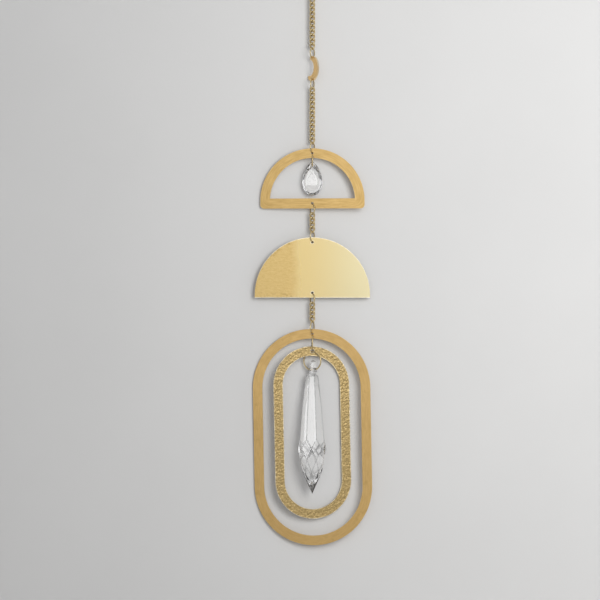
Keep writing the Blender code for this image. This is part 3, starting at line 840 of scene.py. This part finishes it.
frame_top_hole = (0.0, FRAME_RADIUS - FRAME_BAND / 2)
frame_sill_hole = (0.0, FRAME_SILL / 2 - FRAME_DROP)
frame_sheet = cut_sheet(
    frame_edges,
    np.linspace(0.0, 1.0, len(frame_inner)),
    [[frame_top_hole, frame_sill_hole]],
    PLATE_HOLE / 2,
    [6, 6],
    bent_sheet(2 * FRAME_RADIUS, bow=0.0006, waves=0.00006, length=0.040),
)
frame_brass = brass_sheet(
    "frame_brass",
    light=(0.72, 0.495, 0.205),
    dark=(0.575, 0.375, 0.135),
    # Edge colour: wear and a painted highlight along the frame's edges.
    worn=(0.80, 0.62, 0.34),
    stained=(0.48, 0.30, 0.10),
    lines=(9.0, 0.6),
    roughness=(0.28, 0.38),
    relief_depth=0.000003,
    wear_and_highlight_reach=0.3,
)
sheet_piece(
    "open_half_moon",
    frame_sheet,
    frame_brass,
    "satin_brass",
    "half_moon_frame",
    FRAME_TURN,
)

# Teardrop: clear lead crystal, cut with a table and two rows of facets on each face, and
# drilled near its point. It swings inside the frame on its own ring.
DROP_EDGE = 0.00005
DROP_TURN = math.radians(-9)
DROP_HOLE_FOOT = 0.0042
SHARP = math.radians(4)
SAME_FACET = math.radians(1)
GLASS_IOR = 1.54
CLEAR = (1.0, 1.0, 1.0)
# Half-bright glass for the facets' edges: a painted shade that draws them as dark lines.
EDGE_LINE_SHADE = (0.50, 0.50, 0.505)
SHADOW_ON_WALL = (0.42, 0.42, 0.43)
SHADOW_SEEN_THROUGH = (1.2, 1.2, 1.2)
# Steps of the low dome on each table: the share of the face that is left, and its rise.
DROP_DOMES = ((0.66, 0.00034), (0.52, 0.00014))


def glass(name, colour):
    """A material of see-through glass, by plain values, and with it its tree and shader."""
    material, tree, shader = bare_material(name)
    shader.inputs["Base Color"].default_value = (*colour, 1.0)
    shader.inputs["Transmission Weight"].default_value = 1.0
    shader.inputs["Metallic"].default_value = 0.0
    shader.inputs["Roughness"].default_value = 0.0
    shader.inputs["IOR"].default_value = GLASS_IOR
    return material, tree, shader


def rough_shaded_edge_glass(name):
    """Glass of the fine edges between facets: less polished, and dimmed by a painted shade so that
    they draw as dark lines.
    """
    material, tree, shader = glass(name, EDGE_LINE_SHADE)
    place = add(tree, "ShaderNodeTexCoord").outputs["Object"]
    rough = mapped(tree, noise(tree, place, 900.0, 3.0), 0.3, 0.7, 0.10, 0.35)
    tree.links.new(rough, shader.inputs["Roughness"])
    return material


def clear_crystal(name):
    """Polished clear glass, whose facets aren't quite flat.

    Its shadow beside it is a soft grey, but the wall seen through it is lit, as the real one is
    by the light that the facets gather there.
    """
    material, tree, shader = glass(name, CLEAR)
    place = add(tree, "ShaderNodeTexCoord").outputs["Object"]
    bumped(tree, shader, noise(tree, place, 170.0, 1.0), 0.00035)
    path = add(tree, "ShaderNodeLightPath").outputs
    shadow = blend_of(tree, past_glass(tree, path), SHADOW_ON_WALL, SHADOW_SEEN_THROUGH)
    clear = add(tree, "ShaderNodeBsdfTransparent", {"Color": shadow})
    mixed_surface(tree, path["Is Shadow Ray"], shader, clear)
    return material


def crystal_blank(node, turn, turned_below):
    """The node's own facets made one face each, turned about its upright below a height."""
    built = bmesh.new()
    built.from_mesh(bpy.data.objects[node].data)
    bmesh.ops.remove_doubles(built, verts=built.verts, dist=SAME_PLACE)
    bmesh.ops.dissolve_limit(
        built, angle_limit=SAME_FACET, verts=built.verts, edges=built.edges
    )
    low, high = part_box(node)
    lower = [vert for vert in built.verts if vert.co.z < turned_below]
    matrix = Matrix.Rotation(turn, 3, "Z")
    bmesh.ops.rotate(built, verts=lower, cent=(low + high) / 2, matrix=matrix)
    return built


def crystal_piece(name, node, built, edge, cut_above, cut_below):
    """The finished crystal, with the ridges between its facets ground off between two heights."""
    ridges = [
        ridge
        for ridge in built.edges
        if ridge.calc_face_angle(0.0) > SHARP
        and all(cut_above < end.co.z < cut_below for end in ridge.verts)
    ]
    # The ground ridges take the edge glass, whose dimming is a painted shade.
    bmesh.ops.bevel(
        built, geom=ridges, offset=edge, segments=1, affect="EDGES", clamp_overlap=True, material=1
    )
    mesh = bpy.data.meshes.new(name)
    built.to_mesh(mesh)
    built.free()
    mesh.shade_smooth()
    ornament_piece(name, mesh, crystal, "crystal", node)
    mesh.materials.append(facet_edge)


facet_edge = rough_shaded_edge_glass("facet_edge")
crystal = clear_crystal("cut_crystal")
drop_hole_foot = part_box("crystal_drop")[1][2] - DROP_HOLE_FOOT
drop = crystal_blank("crystal_drop", DROP_TURN, drop_hole_foot)
tables = sorted(drop.faces, key=lambda face: -face.calc_area())[:2]
for narrowing, rise in DROP_DOMES:
    tables = bmesh.ops.extrude_discrete_faces(drop, faces=tables)["faces"]
    for table in tables:
        centre = table.calc_center_median()
        ahead = rise * table.normal
        for corner in table.verts:
            corner.co = centre + narrowing * (corner.co - centre) + ahead
drop_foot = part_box("crystal_drop")[0][2]
crystal_piece("teardrop_crystal", "crystal_drop", drop, DROP_EDGE, drop_foot, drop_hole_foot)

# Half-moon plate: a solid half-moon of paler brass sheet, a little bowed, with a hole in its top
# and in its straight edge. It is polished, and its left part is scratched and darker. The polished
# part is painted paler towards the right, a painted reflection of the window light.
HALF_RADIUS = 0.0369
HALF_DROP = 0.0017
HALF_BOW = 0.0005
SCRATCHED_TO = -0.0092
RIM_TO_HOLE = 0.0031
SCRATCHED_DARK = (0.65, 0.455, 0.17)
SCRATCHED_LIGHT = (0.74, 0.54, 0.235)
SCRATCH_GLINT = (0.80, 0.62, 0.31)
NICKED = (0.46, 0.30, 0.10)
# Polished colours, dimmer on the left and paler on the right: a painted reflection of the light.
POLISHED_DIM_LEFT = (0.695, 0.54, 0.255)
POLISHED_SHEEN_RIGHT = (0.645, 0.57, 0.35)
# Rim colour: worn metal and a painted highlight along the plate's edges.
PLATE_WORN_AND_LIT_RIM = (0.93, 0.85, 0.64)


def half_moon_edges(place):
    """The plate's straight edge and its round one, from its left end at -1 to its right at 1.

    Both are the radius times sin(a quarter turn times place) across, and the round edge is the
    radius times the cosine up.
    """
    turn = place * math.pi / 2
    across = HALF_RADIUS * np.sin(turn)
    low = np.stack([across, np.full_like(across, -HALF_DROP)], axis=1)
    return low, np.stack([across, HALF_RADIUS * np.cos(turn)], axis=1)


def two_finish_plate(name):
    """Pale brass, polished, but for its left part, which is darker and finely scratched.

    The finish changes at a nearly straight upright line. Left of it, level scratches and slanting
    ones cross, and dark nicks lie along the rim. Right of it, the polished brass is painted paler
    towards the right: a painted reflection of the window light.
    """
    material, tree, shader = bare_material(name)
    place = add(tree, "ShaderNodeTexCoord").outputs["Object"]
    across = add(tree, "ShaderNodeSeparateXYZ", {"Vector": place}).outputs["X"]
    chart, rim = sheet_charts(tree)
    slanted = add(tree, "ShaderNodeMapping", {"Vector": chart, "Rotation": (0.0, 0.0, 0.9)})
    inputs = {"Chart": chart, "Line length": 3.2, "Line width": 0.9}
    level = mask_of(tree, brush_lines, inputs)
    inputs = {"Chart": slanted.outputs["Vector"], "Line length": 2.6, "Line width": 0.6}
    slanting = mask_of(tree, brush_lines, inputs)
    inputs = {"Position": place, "Patches per metre": 480.0, "Threshold": 0.50}
    spots = mask_of(tree, tarnish, inputs)
    # Bright rim: wear and a painted highlight.
    wear_and_highlight = mask_of(tree, edge_wear_and_highlight, {"Distance": rim, "Reach": 0.7, "Position": place})
    drift = mapped(tree, noise(tree, place, 45.0, 5.0), 0.3, 0.7, -0.0016, 0.0016)
    strayed = maths(tree, "ADD", across, drift)
    polished = mapped(tree, strayed, SCRATCHED_TO - 0.0045, SCRATCHED_TO + 0.0035)
    scratched = blend_of(tree, level, SCRATCHED_DARK, SCRATCHED_LIGHT)
    glint = mapped(tree, slanting, 0.45, 1.0, 0.0, 0.35)
    scratched = blend_of(tree, glint, scratched, SCRATCH_GLINT)
    near_rim = mapped(tree, rim, 0.6, 5.0, 0.75, 0.0)
    nicks = maths(tree, "MULTIPLY", spots, near_rim)
    scratched = blend_of(tree, nicks, scratched, NICKED)
    # Painted reflection: the polished part grows paler towards the right, as if lit there.
    sheen_rightwards = mapped(tree, across, SCRATCHED_TO, HALF_RADIUS)
    polished_with_sheen = blend_of(tree, sheen_rightwards, POLISHED_DIM_LEFT, POLISHED_SHEEN_RIGHT)
    colour = blend_of(tree, polished, scratched, polished_with_sheen)
    colour = blend_of(tree, wear_and_highlight, colour, PLATE_WORN_AND_LIT_RIM)
    tree.links.new(colour, shader.inputs["Base Color"])
    rough = mapped(tree, polished, 0.0, 1.0, 0.36, 0.27)
    tree.links.new(rough, shader.inputs["Roughness"])
    bumped(tree, shader, slanting, 0.000002)
    shader.inputs["Metallic"].default_value = 1.0
    return material


half_low_hole = (0.0, RIM_TO_HOLE - HALF_DROP)
half_top_hole = (0.0, HALF_RADIUS - RIM_TO_HOLE)
half_sheet = cut_sheet(
    half_moon_edges,
    np.linspace(-1.0, 1.0, 91),
    [[half_low_hole], [half_top_hole]],
    PLATE_HOLE / 2,
    [4, 30, 4],
    bent_sheet(2 * HALF_RADIUS, HALF_BOW, waves=0.00004, length=0.050),
)
half_brass = two_finish_plate("plate_brass")
sheet_piece(
    "solid_half_moon",
    half_sheet,
    half_brass,
    "polished_brass",
    "half_moon_plate",
    0.0,
)

# Ovals: two flat bands of brass sheet, one inside the other, each hung from a hole in the middle
# of its top. The outer one is brushed satin, and the inner one is hammered.
OUTER_SIZE = (0.0756, 0.1384, 0.0062)
OUTER_ASIDE = 0.0012
OUTER_TURN = math.radians(-6)
INNER_SIZE = (0.0492, 0.1102, 0.0060)
INNER_ASIDE = 0.0011
INNER_TURN = math.radians(10)
INNER_HOLE = 0.0026
DENT_SLANT = (0.9, 0.6)
DENT_SIZES = (0.7, 1.3)
DENT_REACH = 3


def oval_edges(size, aside):
    """Edges of an oval band: inside and outside of a circle whose middle slides up and down.

    Place runs once round from 0 at the bottom, to the right first, in even steps of the band's
    length. The hole is straight above 0, so the oval lies aside of it.
    """
    width, height, band = size
    slide = (height - width) / 2
    radius = (width - band) / 2
    quarter = radius * math.pi / 2
    lengths = np.cumsum([0.0, quarter, 2 * slide, 2 * quarter, 2 * slide, quarter])
    angles = np.array([-0.5, 0.0, 0.0, 1.0, 1.0, 1.5]) * math.pi
    heights = np.array([-1.0, -1.0, 1.0, 1.0, -1.0, -1.0]) * slide

    def edges(place):
        length = place * lengths[-1]
        angle = np.interp(length, lengths, angles)
        height_there = np.interp(length, lengths, heights)
        middle = np.stack([np.full_like(place, -aside), height_there], axis=1)
        outward = np.stack([np.cos(angle), np.sin(angle)], axis=1)
        return middle + (radius - band / 2) * outward, middle + (radius + band / 2) * outward

    return edges


def oval_band(size, aside, hole, columns, rows, relief):
    """The sheet and roll of an oval band that hangs from a hole in the middle of its top."""
    reach = (size[1] - size[2]) / 2
    sheet = cut_sheet(
        oval_edges(size, aside),
        np.linspace(0.0, 1.0, columns + 1),
        [[(0.0, reach)]],
        hole / 2,
        [rows, rows],
        relief,
    )
    return sheet, -math.atan2(aside, reach)


outer_sheet, outer_roll = oval_band(
    OUTER_SIZE,
    OUTER_ASIDE,
    PLATE_HOLE,
    columns=260,
    rows=4,
    relief=bent_sheet(OUTER_SIZE[0], bow=0.0002, waves=0.00009, length=0.045),
)
outer_brass = brass_sheet(
    "outer_brass",
    light=(0.745, 0.50, 0.205),
    dark=(0.66, 0.43, 0.165),
    # Edge colour: wear and a painted highlight along the band's edges.
    worn=(0.84, 0.63, 0.33),
    stained=(0.50, 0.31, 0.10),
    lines=(6.0, 0.8),
    roughness=(0.30, 0.40),
    relief_depth=0.000003,
    wear_and_highlight_reach=0.25,
)
sheet_piece(
    "outer_oval_band",
    outer_sheet,
    outer_brass,
    "satin_brass",
    "outer_oval",
    OUTER_TURN,
    outer_roll,
)


def hammer_marks(seed, count, long, short, depth):
    """Relief of a hammered face: many long shallow dents at random points of it, which add up.

    Each is its depth times e to the minus square of the way along it over its length, and of the
    way across it over its width. Its slant and its size are random too.
    """
    random = np.random.default_rng(seed)

    def relief(x, z):
        height = np.zeros_like(x)
        places = random.integers(0, x.size, count)
        slants = random.normal(*DENT_SLANT, count)
        sizes = random.uniform(*DENT_SIZES, count)
        for place, slant, size in zip(places, slants, sizes):
            over = x - x.flat[place]
            up = z - z.flat[place]
            near = (np.abs(over) < DENT_REACH * long) & (np.abs(up) < DENT_REACH * long)
            over, up = over[near], up[near]
            down = (over * math.cos(slant) + up * math.sin(slant)) / (long * size)
            side = (up * math.cos(slant) - over * math.sin(slant)) / (short * size)
            height[near] -= depth * size * np.exp(-(down**2) - side**2)
        return height

    return relief


inner_sheet, inner_roll = oval_band(
    INNER_SIZE,
    INNER_ASIDE,
    INNER_HOLE,
    columns=900,
    rows=10,
    relief=hammer_marks(seed=7, count=6400, long=0.00048, short=0.00026, depth=0.000032),
)
inner_brass = brass_sheet(
    "inner_brass",
    light=(0.67, 0.50, 0.24),
    dark=(0.33, 0.23, 0.09),
    # Edge colour: wear and a painted highlight, the cream line of light along the band's edges.
    worn=(0.92, 0.80, 0.55),
    stained=(0.36, 0.24, 0.10),
    lines=(1.2, 0.7),
    roughness=(0.27, 0.42),
    relief_depth=0.00001,
    wear_and_highlight_reach=0.45,
)
sheet_piece(
    "inner_oval_band",
    inner_sheet,
    inner_brass,
    "hammered_brass",
    "inner_oval",
    INNER_TURN,
    inner_roll,
)

# Icicle prism: clear lead crystal like the teardrop, ground to an eight-sided icicle that ends in
# rows of lozenges, and drilled through the flat tab at its top. Its tab is the CAD node's own.
PRISM_TURN = math.radians(8.5)
PRISM_EDGE = 0.00026
PRISM_SIDES = 8
PRISM_GROUND_BELOW = 0.0765
PRISM_BODY_BELOW = 0.0700
PRISM_GROUND_ABOVE = 0.0010
# Rows of the body: height above the tip, distance from its middle, share of a facet turned.
PRISM_ROWS = (
    (0.0560, 0.00645, 0.0),
    (0.0343, 0.0083, 0.0),
    (0.0285, 0.0091, 0.5),
    (0.0215, 0.0081, 0.0),
    (0.0139, 0.0062, 0.5),
    (0.0075, 0.0036, 0.0),
)


def icicle_body(neck, tip):
    """Points and faces of the body, from the neck's corners to the tip.

    Row by row, each point is so far above the tip, so far from the line through neck and tip,
    and so many facets round from a corner of the neck. Long facets run down to a point between
    two ridges, and each lozenge spans three rows.
    """
    centre = neck.mean(axis=0)
    upward = (centre - tip) / np.linalg.norm(centre - tip)
    first = neck[0] - centre
    first = first / np.linalg.norm(first)
    second = np.cross(upward, first)
    heights, radii, offsets = np.array(PRISM_ROWS).T[:, :, None]
    number = np.arange(PRISM_SIDES)
    angle = (number[None, :] + offsets) * 2 * math.pi / PRISM_SIDES
    around = np.cos(angle)[..., None] * first + np.sin(angle)[..., None] * second
    rows = tip + heights[..., None] * upward + radii[..., None] * around
    points = np.concatenate([neck, rows.reshape(-1, 3), tip[None]])
    after = (number + 1) % PRISM_SIDES
    top, bend, foot, wide, low, narrow, last = (row * PRISM_SIDES + number for row in range(7))
    end = np.full(PRISM_SIDES, len(points) - 1)
    groups = [
        [top, top[after], bend[after], bend],
        [bend, bend[after], foot[after], wide, foot],
        [foot[after], wide[after], low[after], wide],
        [wide, low[after], narrow, low],
        [low[after], narrow[after], last[after], narrow],
        [narrow, last[after], end, last],
    ]
    faces = [tuple(face) for group in groups for face in np.stack(group, axis=1).tolist()]
    return points, faces


prism_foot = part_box("crystal_prism")[0][2]
prism = crystal_blank("crystal_prism", PRISM_TURN, prism_foot + PRISM_GROUND_BELOW)
tip = np.array(min((vert.co for vert in prism.verts), key=lambda place: place.z))
cut_away = [vert for vert in prism.verts if vert.co.z < prism_foot + PRISM_BODY_BELOW]
bmesh.ops.delete(prism, geom=cut_away, context="VERTS")
neck = np.array([vert.co[:] for vert in prism.verts if vert.is_boundary])
aside = neck - neck.mean(axis=0)
neck = neck[np.argsort(np.arctan2(aside[:, 1], aside[:, 0]))]
body_points, body_faces = icicle_body(neck, tip)
body = bpy.data.meshes.new("icicle_body")
body.from_pydata(body_points, [], body_faces)
prism.from_mesh(body)
bmesh.ops.remove_doubles(prism, verts=prism.verts, dist=SAME_PLACE)
bmesh.ops.recalc_face_normals(prism, faces=prism.faces)
crystal_piece(
    "icicle_crystal",
    "crystal_prism",
    prism,
    PRISM_EDGE,
    prism_foot + PRISM_GROUND_ABOVE,
    prism_foot + PRISM_GROUND_BELOW,
)
